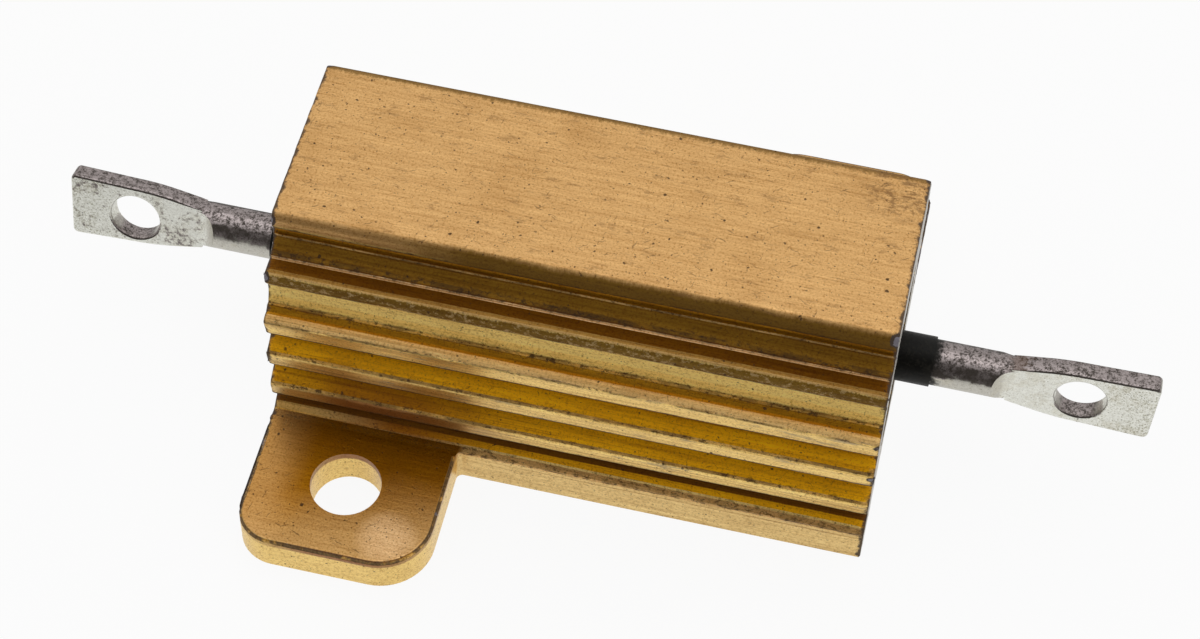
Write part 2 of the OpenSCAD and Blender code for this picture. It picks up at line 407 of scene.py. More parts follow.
@dataclass(frozen=True)
class Spot:
    """A spot of the housing's surface in millimetres, and the waves that its layers share.

    Out is its distance across from the middle, and along its place lengthwise, turned so
    that each side has its tab at the negative end. Fibre and drift are around 0.
    """

    point: Link
    x: Link
    y: Link
    z: Link
    nx: Link
    ny: Link
    nz: Link
    out: Link
    along: Link
    grain: Link
    cloud: Link
    streak: Link
    fine: Link
    fibre: Link
    drift: Link

    @classmethod
    def on(cls, sheet: Sheet) -> "Spot":
        """Reads the spot in a material.

        Args:
            sheet: The material's sheet.

        Returns:
            The spot.
        """
        point = sheet.place()
        x, y, z = sheet.parts(point)
        nx, ny, nz = sheet.facing()
        return cls(
            point, x, y, z, nx, ny, nz,
            out=abs(y),
            along=x * y.step(1.0, -1.0) - x * y.step(-1.0, 1.0),
            grain=sheet.noise(point, 10.0, 3.0, 0.7),
            cloud=sheet.noise(point, 0.32, 4.0, 0.6),
            streak=sheet.noise(sheet.stretched(point, (0.12, 3.0, 3.0)), 1.6, 6.0, 0.65),
            fine=sheet.noise(sheet.stretched(point, (0.8, 16.0, 16.0)), 1.0, 3.0, 0.6),
            fibre=sheet.noise(sheet.stretched(point, (6.0, 2.2, 2.2)), 1.0, 5.0, 0.75) - 0.5,
            drift=sheet.noise(point, 0.8, 3.0, 0.5) - 0.5,
        )


@dataclass(frozen=True)
class Strip:
    """A strip along the housing, the same on both sides, with a finish of its own.

    Its place is given across, from the middle of the housing, and in height.
    """

    across: Pair
    height: Pair
    tint: Colour
    metal: float
    rough: float
    ragged: float = 0.0
    soft: float = 0.04

    def mask(self, spot: Spot) -> Link:
        """Where the strip lies.

        Args:
            spot: The spot to try.

        Returns:
            1 on the strip and 0 off it.
        """
        out, z = spot.out, spot.z
        if self.ragged:
            wander = self.ragged * (2.2 * spot.fibre + 1.6 * spot.drift)
            out, z = out + wander, z + wander
        return out.band(*self.across, self.soft) * z.band(*self.height, self.soft)


@dataclass(frozen=True)
class Chip:
    """A place where the coat is knocked off a corner."""

    at: Triple
    radius: float


@dataclass(frozen=True)
class AnodisedGold:
    """Gold anodised aluminium, worn along its edges and pitted by age, with painted shade,
    reflections and highlights in bands.
    """

    gold: Colour = (0.93, 0.655, 0.215)
    roof: Colour = (0.79, 0.465, 0.182)
    darker: Colour = (0.66, 0.56, 0.42)
    lighter: Colour = (1.12, 1.14, 1.16)
    pit: Colour = (0.060, 0.030, 0.012)
    grime: Colour = (0.34, 0.27, 0.20)
    flake: Colour = (0.50, 0.34, 0.15)
    worn: Colour = (0.085, 0.060, 0.045)
    bare: Colour = (0.66, 0.63, 0.58)
    sawn: Colour = (0.50, 0.47, 0.42)
    slate: Colour = (0.26, 0.24, 0.27)
    metal: float = 0.75
    rough: float = 0.30
    relief: float = 0.000012
    end_x: float = 13.5
    body_h: float = 13.2
    end_lean: float = 0.0122
    roof_z: Pair = (12.45, 12.6)
    roof_flat_z: Pair = (13.0, 13.1)
    roof_rear_y: Pair = (3.86, 4.08)
    roof_corner: Pair = (12.4, 3.2)
    hollow_z: Pair = (9.0, 10.3)
    nose_z: Pair = (10.5, 11.0)
    nose_out: Pair = (5.80, 5.88)
    fin_z: Pair = (1.6, 7.1)
    fin_out: Pair = (5.7, 5.9)
    root_z: Pair = (1.95, 3.0)
    root_out: Pair = (5.8, 6.7)
    tab_along: Pair = (-4.5, -4.9)
    tab_out: Pair = (6.72, 6.80)
    tab_top_z: Pair = (1.8, 1.95)
    tab_rim_z: Pair = (1.66, 1.95)
    tab_rim_out: Pair = (7.3, 7.6)
    # Where the painted highlight on each tab's corner is centred.
    tab_corner: Pair = (-6.7, 12.2)
    # Painted shade: a dim reflection along the roof's long rounded edges.
    roof_edge: Strip = Strip(
        (4.34, 4.9), (12.42, 13.4), (0.19, 0.095, 0.010), 0.25, 0.6, 0.13, 0.36
    )
    strips: tuple[Strip, ...] = (
        # Painted shade and dim reflections: the bead's groove, the flank below it and the top
        # fin's upper face in darker browns, lighter towards that fin's tip.
        Strip((4.2, 4.9), (11.86, 12.38), (0.36, 0.15, 0.006), 0.75, 0.30, 0.0, 0.02),
        Strip((4.3, 5.0), (11.10, 11.84), (0.30, 0.145, 0.012), 0.45, 0.50),
        Strip((4.96, 5.60), (10.98, 11.12), (0.19, 0.068, 0.002), 0.70, 0.30, 0.02, 0.08),
        Strip((5.66, 5.78), (10.98, 11.12), (0.38, 0.20, 0.04), 0.50, 0.35, 0.03, 0.06),
        # Painted highlights: thin bright lines along the bead's edges, the ridge at the top fin's
        # root and the shoulder's rounding.
        Strip((4.36, 4.6), (12.35, 12.44), (0.66, 0.42, 0.15), 0.25, 0.40, 0.02, 0.02),
        Strip((4.3, 4.5), (11.78, 11.87), (0.70, 0.44, 0.16), 0.25, 0.40, 0.02, 0.02),
        Strip((4.97, 5.05), (11.02, 11.12), (0.90, 0.60, 0.30), 0.25, 0.40, 0.0, 0.01),
        Strip((5.80, 5.87), (10.90, 11.06), (0.62, 0.38, 0.13), 0.25, 0.40, 0.02, 0.02),
        Strip((5.87, 6.2), (10.48, 10.93), (0.21, 0.112, 0.012), 0.30, 0.55, 0.10, 0.05),
        # Painted reflections: the waist and the step below it lightened where they mirror the
        # pale floor, and the inner part of the next fin's top darkened.
        Strip((5.6, 5.80), (9.3, 10.2), (1.0, 0.74, 0.24), 0.30, 0.50, 0.0, 0.06),
        Strip((5.74, 5.97), (8.95, 9.25), (1.0, 0.67, 0.18), 0.40, 0.45, 0.0, 0.12),
        Strip((6.0, 6.36), (8.5, 8.94), (0.62, 0.29, 0.015), 0.70, 0.35, 0.02),
        Strip((6.36, 6.66), (8.5, 8.94), (1.0, 0.64, 0.24), 0.30, 0.42, 0.03, 0.06),
        # Painted shadow on the flange's slope under the lowest fin.
        Strip((5.9, 6.40), (2.10, 2.60), (0.22, 0.08, 0.002), 0.30, 0.40, 0.02, 0.05),
        Strip((6.76, 7.10), (1.74, 1.96), (0.95, 0.60, 0.22), 0.35, 0.40, 0.02, 0.03),
        # Painted shade: thin dark lines along the lower edges of the three lower fins.
        Strip((6.2, 6.9), (7.46, 7.55), (0.15, 0.075, 0.012), 0.30, 0.50, 0.03, 0.03),
        Strip((6.2, 6.9), (5.27, 5.36), (0.15, 0.075, 0.012), 0.30, 0.50, 0.03, 0.03),
        Strip((6.2, 6.9), (3.08, 3.17), (0.15, 0.075, 0.012), 0.30, 0.50, 0.03, 0.03),
        Strip((7.0, 7.2), (-0.1, 1.70), (0.80, 0.56, 0.22), 0.75, 0.32, 0.0, 0.04),
    )
    borders: tuple[float, ...] = (
        12.40, 11.82, 11.16, 10.42, 8.92, 8.45, 7.52, 6.28, 5.33, 4.04, 3.14, 1.84,
    )
    # Painted reflection: the orange that the fins' sloping floors mirror off the undersides of
    # the fins above them.
    floors: Colour = (1.0, 0.48, 0.002)
    # Painted shade on the fins' floors beside the tab, which hides the pale floor from them.
    shade_over_tab: Colour = (0.38, 0.26, 0.30)
    rims: Colour = (0.92, 0.54, 0.14)
    # Painted shade, on the fins' undersides and on the tabs' tops near the housing.
    painted_shade: Colour = (0.45, 0.180, 0.004)
    tab_top: Colour = (0.64, 0.37, 0.130)
    root: Colour = (0.72, 0.50, 0.20)
    stain: Colour = (0.26, 0.13, 0.045)
    # Painted highlight on the tabs' outer corners.
    corner_highlight: Colour = (1.0, 0.66, 0.34)
    scratches: tuple[Pair, ...] = ((33.0, 0.12), (-24.0, 0.10), (78.0, 0.07))
    chips: tuple[Chip, ...] = (
        Chip((13.45, -4.30, 12.95), 0.34),
        Chip((13.45, -6.75, 8.25), 0.22),
        Chip((13.45, -6.75, 5.95), 0.20),
        Chip((13.55, 4.35, 13.05), 0.30),
        Chip((-13.45, 4.35, 13.05), 0.30),
        Chip((-13.50, -5.95, 10.80), 0.30),
        Chip((-13.55, -4.45, 12.85), 0.34),
    )

    def make(self) -> bpy.types.Material:
        """Builds the material.

        Returns:
            The material.
        """
        material, sheet = new_material("anodised_gold")
        spot = Spot.on(sheet)
        tab = spot.along.step(*self.tab_along) * spot.out.step(*self.tab_out)
        coat = Coat(sheet, self.gold, self.metal, self.rough)
        coat.lay(spot.z.step(*self.roof_z), self.roof)
        self._fins(coat, spot)
        for strip in self.strips:
            coat.lay(strip.mask(spot), strip.tint, strip.metal, strip.rough)
        self._tabs(coat, spot, tab)
        self._roof_edge(coat, spot)
        self._mottle(coat, spot, tab)
        self._stains(coat, spot)
        dents = self._marks(coat, spot)
        self._crumble(coat, spot)
        self._ends(coat, spot)
        self._knocks(coat, spot)
        self._cuts(coat, spot)
        height = 0.5 * spot.streak + 0.4 * spot.fine + 0.5 * spot.grain - 2.0 * dents
        sheet.finish(
            Base_Color=coat.colour,
            Metallic=coat.metal,
            Roughness=coat.rough + 0.12 * spot.grain,
            Specular_IOR_Level=0.15,
            Normal=sheet.bump(height, self.relief),
        )
        return material

    def _fins(self, coat: Coat, spot: Spot) -> None:
        """Colours the sloping floors between the fins with a painted orange reflection and
        painted shade beside the tab, the rims below them, the fins' undersides with painted
        shade, and the lowest root.

        Args:
            coat: The coat so far.
            spot: The spot of the surface.
        """
        along, z, nz = spot.along, spot.z, spot.nz
        among = z.band(*self.fin_z, 0.1) * spot.out.step(*self.fin_out)
        # Painted reflection: orange on the sloping floors between the fins.
        coat.lay(among * nz.band(0.80, 0.87, 0.03), self.floors, 0.12, 0.40)
        # Painted shade on the floors beside the tab, strongest on the lower fins.
        shaded = along.step(0.0, -8.0) * (1 - 0.65 * along.step(-9.5, -12.8))
        coat.tone(among * shaded * z.step(7.6, 3.2), self.shade_over_tab)
        coat.lay(among * nz.band(0.45, 0.78, 0.05), self.rims, 0.30, 0.42)
        # Painted shade on the fins' undersides.
        under = nz.step(-0.3, -0.8) * z.step(2.0, 2.4)
        coat.lay(under, self.painted_shade, 0.75, 0.3)
        root = z.band(*self.root_z, 0.08) * spot.out.band(*self.root_out, 0.1)
        coat.lay(0.6 * root * along.step(-7.5, -11.5), self.root, 0.35, 0.45)

    def _tabs(self, coat: Coat, spot: Spot, tab: Link) -> None:
        """Paints shade on the tabs' tops near the housing, a painted highlight on their corners,
        and wears their rims.

        Args:
            coat: The coat so far.
            spot: The spot of the surface.
            tab: Where the tabs are.
        """
        along, out, nz = spot.along, spot.out, spot.nz
        top = tab * nz.step(0.93, 0.99) * spot.z.band(*self.tab_top_z, 0.02)
        coat.lay(top, self.tab_top, 0.90, 0.30)
        soft = spot.cloud - 0.5
        slant = out + 0.35 * (along + 9.0) + 2.5 * soft
        # Painted shade on the tabs' tops near the housing.
        coat.lay(top * slant.step(13.2, 9.2), self.painted_shade)
        coat.lay(0.50 * top * along.step(-10.8, -12.8), self.roof)
        # Painted highlight round each tab's outer corner.
        side, front = along - self.tab_corner[0], out - self.tab_corner[1]
        corner_highlight = (side * side + front * front + 2.0 * soft).step(2.6, 0.1)
        coat.lay(0.75 * top * corner_highlight, self.corner_highlight)
        rim = nz.band(0.30, 0.88, 0.10) * spot.z.band(*self.tab_rim_z, 0.02)
        rim = rim * out.step(*self.tab_rim_out)
        patchy = coat.sheet.noise(spot.point, 1.3, 4.0, 0.65)
        coat.lay(0.85 * rim * patchy.step(0.32, 0.50), self.worn, 0.25, 0.55)
        coat.lay(rim * patchy.step(0.60, 0.66), self.slate, 0.4, 0.5)

    def _roof_edge(self, coat: Coat, spot: Spot) -> None:
        """Lays fuzzy painted shade along the roof's long rounded edges, where they mirror the dim
        side in front, fainter at one end.

        Args:
            coat: The coat so far.
            spot: The spot of the surface.
        """
        # The painted shade is lighter towards the tab end.
        faint = (spot.along + 3.0 * spot.drift).step(-4.0, -10.5)
        mask = self.roof_edge.mask(spot) * (1 - 0.62 * faint)
        coat.lay(mask, self.roof_edge.tint, self.roof_edge.metal, self.roof_edge.rough)

    def _mottle(self, coat: Coat, spot: Spot, tab: Link) -> None:
        """Makes the gold uneven, with drawn lines below the roof and little on the calm parts.

        Args:
            coat: The coat so far.
            spot: The spot of the surface.
            tab: Where the tabs are.
        """
        hollow = spot.z.band(*self.hollow_z, 0.1)
        calm = 1 - (0.8 * hollow).at_least(0.85 * tab)
        below = spot.z.step(12.9, 12.3) * calm
        drawn = coat.sheet.stretched(spot.point, (0.015, 7.0, 7.0))
        line = coat.sheet.noise(drawn, 1.0, 4.0, 0.7)
        coat.tone(0.45 * spot.cloud.step(0.45, 0.80), self.darker)
        coat.tone(0.95 * below * line.step(0.52, 0.66), self.darker)
        coat.tone(0.90 * below * line.step(0.46, 0.34), self.lighter)
        coat.tone(calm * (0.35 + 0.30 * below) * spot.streak.step(0.50, 0.68), self.darker)
        coat.tone(0.75 * calm * spot.streak.step(0.49, 0.34), self.lighter)
        coat.tone(0.80 * spot.grain.step(0.49, 0.66), self.darker)
        coat.tone(0.55 * spot.grain.step(0.47, 0.34), self.lighter)
        coat.tone(0.85 * spot.fine.step(0.5, 0.68), self.lighter)
        coat.tone(0.35 * spot.fine.step(0.48, 0.34), self.darker)

    def _stains(self, coat: Coat, spot: Spot) -> None:
        """Browns the roof's rear edge, stains its right rear corner and scuffs it all over.

        Args:
            coat: The coat so far.
            spot: The spot of the surface.
        """
        sheet, x, y = coat.sheet, spot.x, spot.y
        roof = spot.z.step(*self.roof_flat_z)
        rear = spot.z.step(12.5, 12.6) * (y + 0.6 * spot.fibre).step(*self.roof_rear_y)
        coat.lay(0.7 * rear, self.roof_edge.tint, 0.3, 0.5)
        aside, back = x - self.roof_corner[0], y - self.roof_corner[1]
        close = (aside * aside + 1.5 * back * back).step(5.0, 0.4)
        blotch = sheet.noise(sheet.stretched(spot.point, (0.8, 1.6, 1.6)), 1.7, 6.0, 0.75)
        coat.lay(0.7 * roof * close * blotch.step(0.46, 0.57), self.stain, 0.3, 0.5)
        scuff = sheet.noise(sheet.stretched(spot.point, (0.7, 2.0, 2.0)), 1.1, 6.0, 0.75)
        coat.lay(0.40 * roof * scuff.step(0.55, 0.64), self.stain, 0.5, 0.4)

    def _marks(self, coat: Coat, spot: Spot) -> Link:
        """Adds pits, specks, scratches and the grime on the steep sides.

        Args:
            coat: The coat so far.
            spot: The spot of the surface.

        Returns:
            How deep the surface is dented, from 0 to about 1.
        """
        sheet = coat.sheet
        odd = sheet.warp(spot.point, 5.0, 0.09)
        pits = sheet.specks(odd, 1.5, 0.13, 0.34)
        dots = sheet.specks(odd, 3.1, 0.20, 0.42)
        dust = sheet.specks(odd, 6.0, 0.30, 0.42)
        coat.lay(0.85 * pits, self.pit, 0.1, 0.6)
        coat.lay(0.75 * dots, self.pit, 0.2, 0.5)
        coat.lay(0.60 * dust, self.pit)
        scores = 0.0
        for angle, share in self.scratches:
            drawn = sheet.turned(odd, (0.0, 0.0, angle), (0.9, 0.07, 0.30))
            scores = scores + sheet.specks(drawn, 1.0, 0.33, share)
        coat.lay(0.40 * scores, self.pit, 0.3, 0.5)
        side = abs(spot.ny).step(0.80, 0.95) * spot.z.step(1.2, 2.4)
        smear = sheet.noise(sheet.stretched(spot.point, (0.35, 2.2, 2.2)), 1.0, 6.0, 0.68)
        smear = smear.step(0.56, 0.66) * spot.z.step(9.1, 8.9)
        coat.lay(0.55 * side * smear, self.grime, 0.4, 0.5)
        return pits + 0.6 * dots + 0.5 * scores

    def _crumble(self, coat: Coat, spot: Spot) -> None:
        """Frays the borders between the strips into dark crumbs, and flakes the nose.

        Args:
            coat: The coat so far.
            spot: The spot of the surface.
        """
        sheet, out = coat.sheet, spot.out
        crumbs = sheet.noise(sheet.stretched(spot.point, (1.0, 1.5, 1.5)), 3.2, 6.0, 0.78)
        near = 0.0
        for height in self.borders:
            near = abs(spot.z - height).step(0.16, 0.02) + near
        near = near * out.step(4.2, 4.4) * out.step(7.2, 7.1)
        thin = sheet.noise(sheet.stretched(spot.point, (0.5, 1.0, 1.0)), 1.0, 5.0, 0.7)
        coat.lay(0.6 * near.step(0.70, 0.92) * thin.step(0.38, 0.58), self.pit, 0.2, 0.6)
        coat.lay(0.85 * near * crumbs.step(0.52, 0.59), self.pit, 0.2, 0.6)
        nose = out.step(*self.nose_out) * spot.z.band(*self.nose_z, 0.1)
        coat.lay(0.8 * nose * crumbs.step(0.52, 0.60), self.flake, 0.3, 0.5)

    def _gap(self, spot: Spot) -> Link:
        """How far a spot is from the nearer end, of which the right one leans."""
        right = self.end_x + self.end_lean * (self.body_h - spot.z) - spot.x
        return right.at_most(spot.x + self.end_x)

    def _ends(self, coat: Coat, spot: Spot) -> None:
        """Wears the edges round the ends.

        Args:
            coat: The coat so far.
            spot: The spot of the surface.
        """
        gap = self._gap(spot)
        patchy = coat.sheet.noise(spot.point, 2.4, 4.0, 0.7) - 0.5
        slow = coat.sheet.noise(spot.point, 0.55, 3.0, 0.6)
        near = gap + 0.7 * patchy + 0.25 * (slow - 0.5)
        coat.lay(0.9 * near.step(0.19, 0.06), self.worn, 0.2, 0.6)
        rim = (gap + 0.2 * patchy).step(0.05, 0.01) * slow.step(0.40, 0.55)
        coat.lay(rim, self.slate, 0.4, 0.5)

    def _knocks(self, coat: Coat, spot: Spot) -> None:
        """Knocks the coat off the corners.

        Args:
            coat: The coat so far.
            spot: The spot of the surface.
        """
        jagged = coat.sheet.warp(spot.point, 4.0, 0.16)
        for chip in self.chips:
            inputs = {0: jagged, 1: chip.at}
            reach = coat.sheet.node("VectorMath", {"operation": "DISTANCE"}, inputs, "Value")
            coat.lay(reach.step(chip.radius, 0.8 * chip.radius), self.slate, 0.35, 0.55)
            coat.lay(reach.band(0.7 * chip.radius, chip.radius, 0.03), self.worn, 0.2, 0.6)

    def _cuts(self, coat: Coat, spot: Spot) -> None:
        """Bares the saw-cut ends.

        Args:
            coat: The coat so far.
            spot: The spot of the surface.
        """
        sheet = coat.sheet
        cut = abs(spot.nx).step(0.8, 0.95) * self._gap(spot).step(0.06, 0.02)
        lines = sheet.turned(spot.point, (12.0, 0.0, 0.0), (1.0, 1.6, 0.05))
        saw = sheet.noise(lines, 1.0, 3.0, 0.6).step(0.35, 0.65)
        coat.lay(cut, sheet.mix(saw, self.bare, self.sawn), 0.85, 0.42)


@dataclass(frozen=True)
class Tinned:
    """Tinned copper wire and lugs, oxidised where they face up and pale on their flats, with a
    painted highlight on the shank's crown and painted shade on faces tilted part way up.
    """

    pale: Colour = (0.82, 0.82, 0.75)
    wire: Colour = (0.58, 0.56, 0.50)
    cream: Colour = (0.60, 0.56, 0.44)
    round: Colour = (0.25, 0.215, 0.205)
    # Pale frost, stronger on the crown as a painted highlight.
    frost_and_highlight: Colour = (0.64, 0.56, 0.55)
    # Dark tarnish, also laid as painted shade on faces tilted part way up.
    tarnish_and_shade: Colour = (0.075, 0.062, 0.052)
    rust: Colour = (0.17, 0.095, 0.055)
    resin: Colour = (0.012, 0.010, 0.007)
    blot: Colour = (0.66, 0.65, 0.58)
    crumb: Colour = (0.50, 0.48, 0.40)
    duller: Colour = (0.82, 0.80, 0.78)
    lighter: Colour = (1.12, 1.12, 1.12)
    metal: float = 0.9
    rough: float = 0.36
    relief: float = 0.000012
    collar_x: float = 15.1
    lug_x: float = 18.4
    neck_x: float = 18.8
    tip_x: float = 24.8

    def make(self) -> bpy.types.Material:
        """Builds the material.

        Returns:
            The material.
        """
        material, sheet = new_material("tinned_metal")
        point = sheet.place()
        x, _, _ = sheet.parts(point)
        nx, ny, nz = sheet.facing()
        along = abs(x)
        cloud = sheet.noise(point, 0.9, 4.0, 0.6)
        mottle = sheet.noise(point, 4.5, 4.0, 0.7)
        grain = sheet.noise(point, 14.0, 2.0, 0.6)
        odd = sheet.warp(point, 7.0, 0.06)
        coat = Coat(sheet, self.pale, self.metal, self.rough)
        shank = (along + 0.8 * (mottle - 0.5)).step(self.lug_x, self.lug_x - 0.3)
        coat.lay(shank, self.wire)
        coat.lay(0.4 * (cloud + 0.4 * (mottle - 0.5)).step(0.48, 0.66), self.cream)
        worn = (along + 4.0 * (cloud - 0.5)).step(self.lug_x + 2.0, self.tip_x)
        crumbs = sheet.noise(odd, 11.0, 4.0, 0.75)
        coat.tone((0.15 + 0.35 * worn) * mottle.step(0.48, 0.66), self.blot)
        coat.tone((crumbs + 0.07 * worn).step(0.58, 0.68), self.crumb)

        ragged = 0.9 * (mottle - 0.5) + 0.5 * (cloud - 0.5)
        up = (nz + ragged).step(0.32, 0.50)
        coat.lay(up, self.round)
        # Painted highlight: the pale frost is stronger on the crown, the upward faces that don't
        # lean back.
        crown = nz.step(0.80, 0.92) * (ny + 0.30 * mottle).step(0.30, 0.10)
        coarse = crumbs + mottle - 0.5
        coat.lay((0.45 + 0.45 * crown) * up * coarse.step(0.44, 0.60), self.frost_and_highlight)
        coat.lay(up * coarse.step(0.46, 0.34), self.tarnish_and_shade, 0.5, 0.5)
        coat.lay(0.7 * up * abs(nx).step(0.55, 0.80), self.wire)
        # Painted shade: a dark band on faces tilted part way up, the dark reflection along the
        # shank, and painted shade and dirt in the line along the lugs' rounded top edges.
        belly = (nz + 0.3 * ragged).band(0.38, 0.80, 0.10) * abs(nx).step(0.50, 0.25)
        lug = along.step(self.lug_x - 0.2, self.lug_x + 0.3)
        shadow = 0.35 + 0.6 * cloud.step(0.40, 0.56).at_least(lug)
        coat.lay(shadow * belly, self.tarnish_and_shade, 0.5, 0.5)
        neck = (x - self.neck_x + 1.6 * (mottle - 0.5)).band(-0.15, 0.15, 0.35)
        coat.lay(0.45 * neck * nz.step(0.3, 0.8), self.rust, 0.3, 0.5)
        coat.tone(grain.step(0.5, 0.75), self.duller)
        coat.tone(grain.step(0.5, 0.28), self.lighter)
        specks = sheet.specks(odd, 3.8, 0.20, 0.24)
        dust = sheet.specks(odd, 8.5, 0.30, 0.40)
        coat.lay(0.75 * specks, self.tarnish_and_shade, 0.2, 0.6)
        coat.lay(0.65 * dust * (0.45 + 0.55 * worn), self.tarnish_and_shade, 0.4, 0.6)
        smear = x + 1.1 * (mottle - 0.5) + 0.8 * (cloud - 0.5)
        smear = smear.step(self.collar_x + 0.5, self.collar_x) * x.step(0.0, 1.0)
        coat.lay(smear, self.resin, 0.0, 0.5)
        height = 0.6 * mottle + 0.3 * grain - 0.6 * specks
        sheet.finish(
            Base_Color=coat.colour,
            Metallic=coat.metal,
            Roughness=coat.rough + 0.12 * grain,
            Specular_IOR_Level=0.3,
            Normal=sheet.bump(height, self.relief),
        )
        return material


@dataclass(frozen=True)
class Moulded:
    """Black moulding compound with a matt, slightly scuffed skin."""

    black: Colour = (0.0045, 0.004, 0.0025)
    dusty: Colour = (0.030, 0.027, 0.020)
    scuff: Colour = (0.33, 0.28, 0.25)
    rough: float = 0.42
    relief: float = 0.00002

    def make(self) -> bpy.types.Material:
        """Builds the material.

        Returns:
            The material.
        """
        material, sheet = new_material("black_compound")
        point = sheet.place()
        cloud = sheet.noise(point, 0.9, 4.0, 0.6)
        grain = sheet.noise(point, 7.0, 4.0, 0.7)
        odd = sheet.warp(point, 6.0, 0.10)
        scuffs = sheet.specks(odd, 2.4, 0.17, 0.10)
        swirl = sheet.noise(sheet.warp(point, 0.7, 0.9), 2.6, 3.0, 0.6)
        coat = Coat(sheet, self.black, 0.0, self.rough)
        coat.lay(0.75 * grain.step(0.50, 0.72), self.dusty, None, 0.6)
        coat.lay(0.45 * cloud.step(0.50, 0.70), self.dusty, None, 0.55)
        coat.lay(0.45 * swirl.step(0.56, 0.66), self.dusty, None, 0.6)
        coat.lay(0.8 * scuffs, self.scuff, None, 0.7)
        sheet.finish(
            Base_Color=coat.colour,
            Metallic=0.0,
            Roughness=coat.rough + 0.10 * grain,
            Specular_IOR_Level=0.22,
            Normal=sheet.bump(0.6 * grain + 0.4 * cloud - 0.3 * scuffs, self.relief),
        )
        return material


@dataclass(frozen=True)
class Fired:
    """Cream fired ceramic with a fine grain and a few iron spots."""

    cream: Colour = (0.78, 0.75, 0.67)
    shade: Colour = (0.62, 0.57, 0.48)
    dusty: Colour = (0.86, 0.85, 0.82)
    spot: Colour = (0.22, 0.14, 0.08)
    rough: float = 0.55
    relief: float = 0.00001

    def make(self) -> bpy.types.Material:
        """Builds the material.

        Returns:
            The material.
        """
        material, sheet = new_material("fired_ceramic")
        point = sheet.place()
        cloud = sheet.noise(point, 0.6, 4.0, 0.6)
        grain = sheet.noise(point, 9.0, 3.0, 0.65)
        spots = sheet.specks(sheet.warp(point, 5.0, 0.06), 2.6, 0.12, 0.16)
        coat = Coat(sheet, self.cream, 0.0, self.rough)
        coat.lay(cloud.step(0.40, 0.70), self.shade)
        coat.tone(grain.step(0.45, 0.75), self.dusty)
        coat.lay(0.7 * spots, self.spot)
        sheet.finish(
            Base_Color=coat.colour,
            Roughness=coat.rough + 0.15 * grain,
            Normal=sheet.bump(grain - 0.5 * spots, self.relief),
        )
        return material


@dataclass(frozen=True)
class Turned:
    """Metal with fine lines round the resistor's own axis, as turning or drawing leaves them."""

    name: str
    tint: Colour
    shade: Colour
    rough: float
    lines: float
    groove: Colour = (0.72, 0.71, 0.70)
    dusty: Colour = (0.85, 0.84, 0.82)
    relief: float = 0.000006

    def make(self) -> bpy.types.Material:
        """Builds the material.

        Returns:
            The material.
        """
        material, sheet = new_material(self.name)
        point = sheet.place()
        cloud = sheet.noise(point, 0.8, 4.0, 0.6)
        line = sheet.noise(sheet.stretched(point, (self.lines, 0.2, 0.2)), 1.0, 3.0, 0.6)
        grain = sheet.noise(point, 12.0, 2.0, 0.6)
        coat = Coat(sheet, self.tint, 1.0, self.rough)
        coat.lay(0.8 * cloud.step(0.40, 0.70), self.shade)
        coat.tone(line.step(0.50, 0.70), self.groove)
        coat.tone(grain.step(0.55, 0.75), self.dusty)
        sheet.finish(
            Base_Color=coat.colour,
            Metallic=1.0,
            Roughness=coat.rough + 0.12 * grain,
            Normal=sheet.bump(0.8 * line + 0.3 * grain, self.relief),
        )
        return material


# ---- Pieces -------------------------------------------------------------------

# Limits within which points merge, thin faces go and flat ones join, in metres and radians.
WELD = 0.00002
SLIVER = 0.000002
COPLANAR = math.radians(0.3)


def make_active(piece: bpy.types.Object) -> None:
    """Makes a piece the only one that operators act on.

    Args:
        piece: The piece.
    """
    bpy.ops.object.select_all(action="DESELECT")
    bpy.context.view_layer.objects.active = piece
    piece.select_set(True)


def edit(piece: bpy.types.Object) -> None:
    """Opens a piece for editing, with nothing selected.

    Args:
        piece: The piece.
    """
    make_active(piece)
    bpy.ops.object.mode_set(mode="EDIT")
    bpy.ops.mesh.select_mode(type="VERT")
    bpy.ops.mesh.select_all(action="DESELECT")


def close(piece: bpy.types.Object) -> None:
    """Goes back to object mode."""
    bpy.ops.object.mode_set(mode="OBJECT")
    piece.data.update()


def select_edges(piece: bpy.types.Object, wanted: Callable[[Any], bool]) -> int:
    """Selects the edges of a piece in edit mode that a test picks.

    Args:
        piece: The piece.
        wanted: The test for one edge.

    Returns:
        How many edges are selected.
    """
    bpy.ops.mesh.select_mode(type="EDGE")
    bpy.ops.mesh.select_all(action="DESELECT")
    mesh = bmesh.from_edit_mesh(piece.data)
    count = 0
    for edge in mesh.edges:
        if wanted(edge):
            edge.select_set(True)
            count += 1
    bmesh.update_edit_mesh(piece.data)
    return count


def bevel_edges(width: float, segments: int) -> None:
    """Bevels the selected edges, by a width in millimetres."""
    settings = {"affect": "EDGES", "clamp_overlap": False}
    bpy.ops.mesh.bevel(offset=width * MM, segments=segments, **settings)


def bisect_x(x: float) -> None:
    """Cuts the whole open mesh across at x, in metres."""
    bpy.ops.mesh.select_all(action="SELECT")
    bpy.ops.mesh.bisect(plane_co=(x, 0.0, 0.0), plane_no=(1.0, 0.0, 0.0))


def merged_copy(node: str, name: str) -> bpy.types.Object:
    """Copies a node's mesh and makes one clean surface of its triangles.

    Args:
        node: The node.
        name: The copy's name.

    Returns:
        The copy.
    """
    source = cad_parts[node]
    piece = bpy.data.objects.new(name, source.data.copy())
    bpy.context.collection.objects.link(piece)
    edit(piece)
    bpy.ops.mesh.select_all(action="SELECT")
    bpy.ops.mesh.customdata_custom_splitnormals_clear()
    bpy.ops.mesh.remove_doubles(threshold=WELD)
    bpy.ops.mesh.dissolve_degenerate(threshold=SLIVER)
    bpy.ops.mesh.dissolve_limited(angle_limit=COPLANAR)
    close(piece)
    return piece


